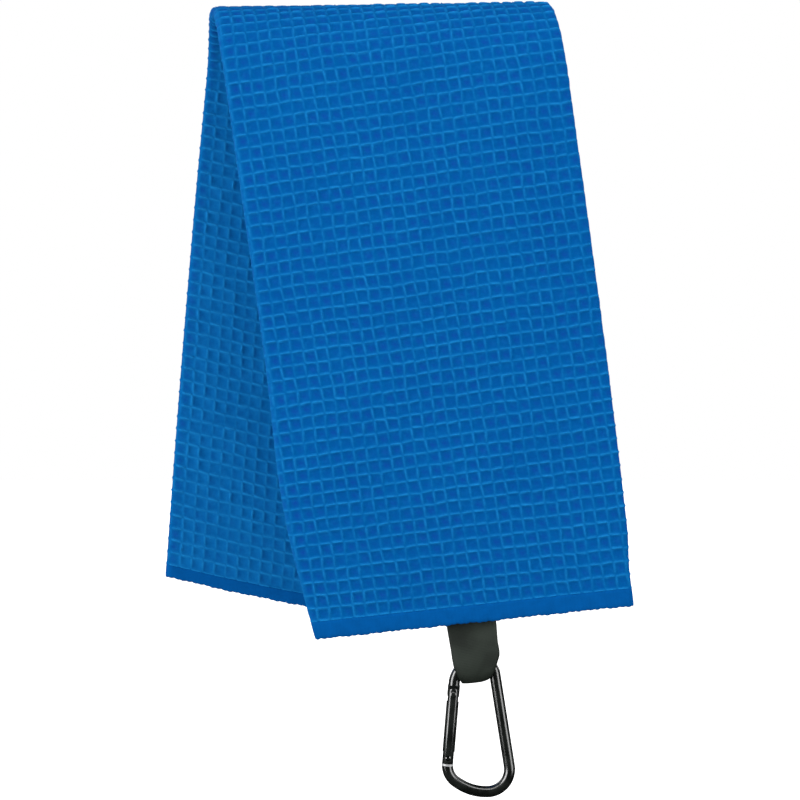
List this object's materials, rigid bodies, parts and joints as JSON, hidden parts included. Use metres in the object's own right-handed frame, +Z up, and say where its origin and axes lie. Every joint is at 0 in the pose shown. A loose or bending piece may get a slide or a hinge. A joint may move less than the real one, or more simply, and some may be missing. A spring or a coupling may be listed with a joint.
{
  "type": "golf towel",
  "caption": "Waffle weave golf towel folded lengthwise and draped over a rail, with a webbing loop and a gated carabiner hanging from its front hem.",
  "frame": {"origin": "middle of the line where the underside of the top fold rests on the rail", "axes": "+Z up, +X to the right along the rail, the front half with the carabiner faces -Y"},
  "size_m": [0.201, 0.0618, 0.3335],
  "materials": {
    "towel_waffle": "matt waffle weave",
    "towel_hem": "matt overlocked edge",
    "webbing": "satin woven tape",
    "black_thread": "matt thread",
    "carabiner_black": "gloss black anodised",
    "bare_steel": "bright"
  },
  "bodies": {
    "towel": {"towel_top_fold": "towel_waffle", "towel_back_half": "towel_waffle", "back_hem": "towel_hem"},
    "front_half": {"towel_front_half": "towel_waffle", "front_hem": "towel_hem", "webbing_tail": "webbing", "lower_bar_tack": "black_thread", "upper_bar_tack": "black_thread"},
    "loop": {"webbing_loop": "webbing"},
    "carabiner": {"carabiner_frame": "carabiner_black"},
    "gate": {"carabiner_gate": "carabiner_black", "hinge_rivet": "carabiner_black", "latch_pin": "carabiner_black", "gate_spring": "bare_steel", "spring_plunger": "bare_steel"}
  },
  "joints": [
    {"name": "front_half_lift", "type": "hinge", "parent": "towel", "child": "front_half", "pos_m": [0, -0.0265, -0.023], "axis": [-1, 0, 0], "range_deg": [0, 45]},
    {"name": "loop_swing", "type": "hinge", "parent": "front_half", "child": "loop", "pos_m": [0.0387, -0.02645, -0.2562], "axis": [-0.9898, 0, -0.1426], "range_deg": [-35, 35]},
    {"name": "carabiner_swing", "type": "hinge", "parent": "loop", "child": "carabiner", "pos_m": [0.0414, -0.02645, -0.273], "axis": [-1, 0, 0], "range_deg": [-25, 25]},
    {"name": "gate_open", "type": "hinge", "parent": "carabiner", "child": "gate", "pos_m": [0.0309, -0.02645, -0.28381], "axis": [0, -1, 0], "range_deg": [0, 28], "stiffness_Nm_per_rad": 0.1, "springref_deg": -17.19}
  ]
}
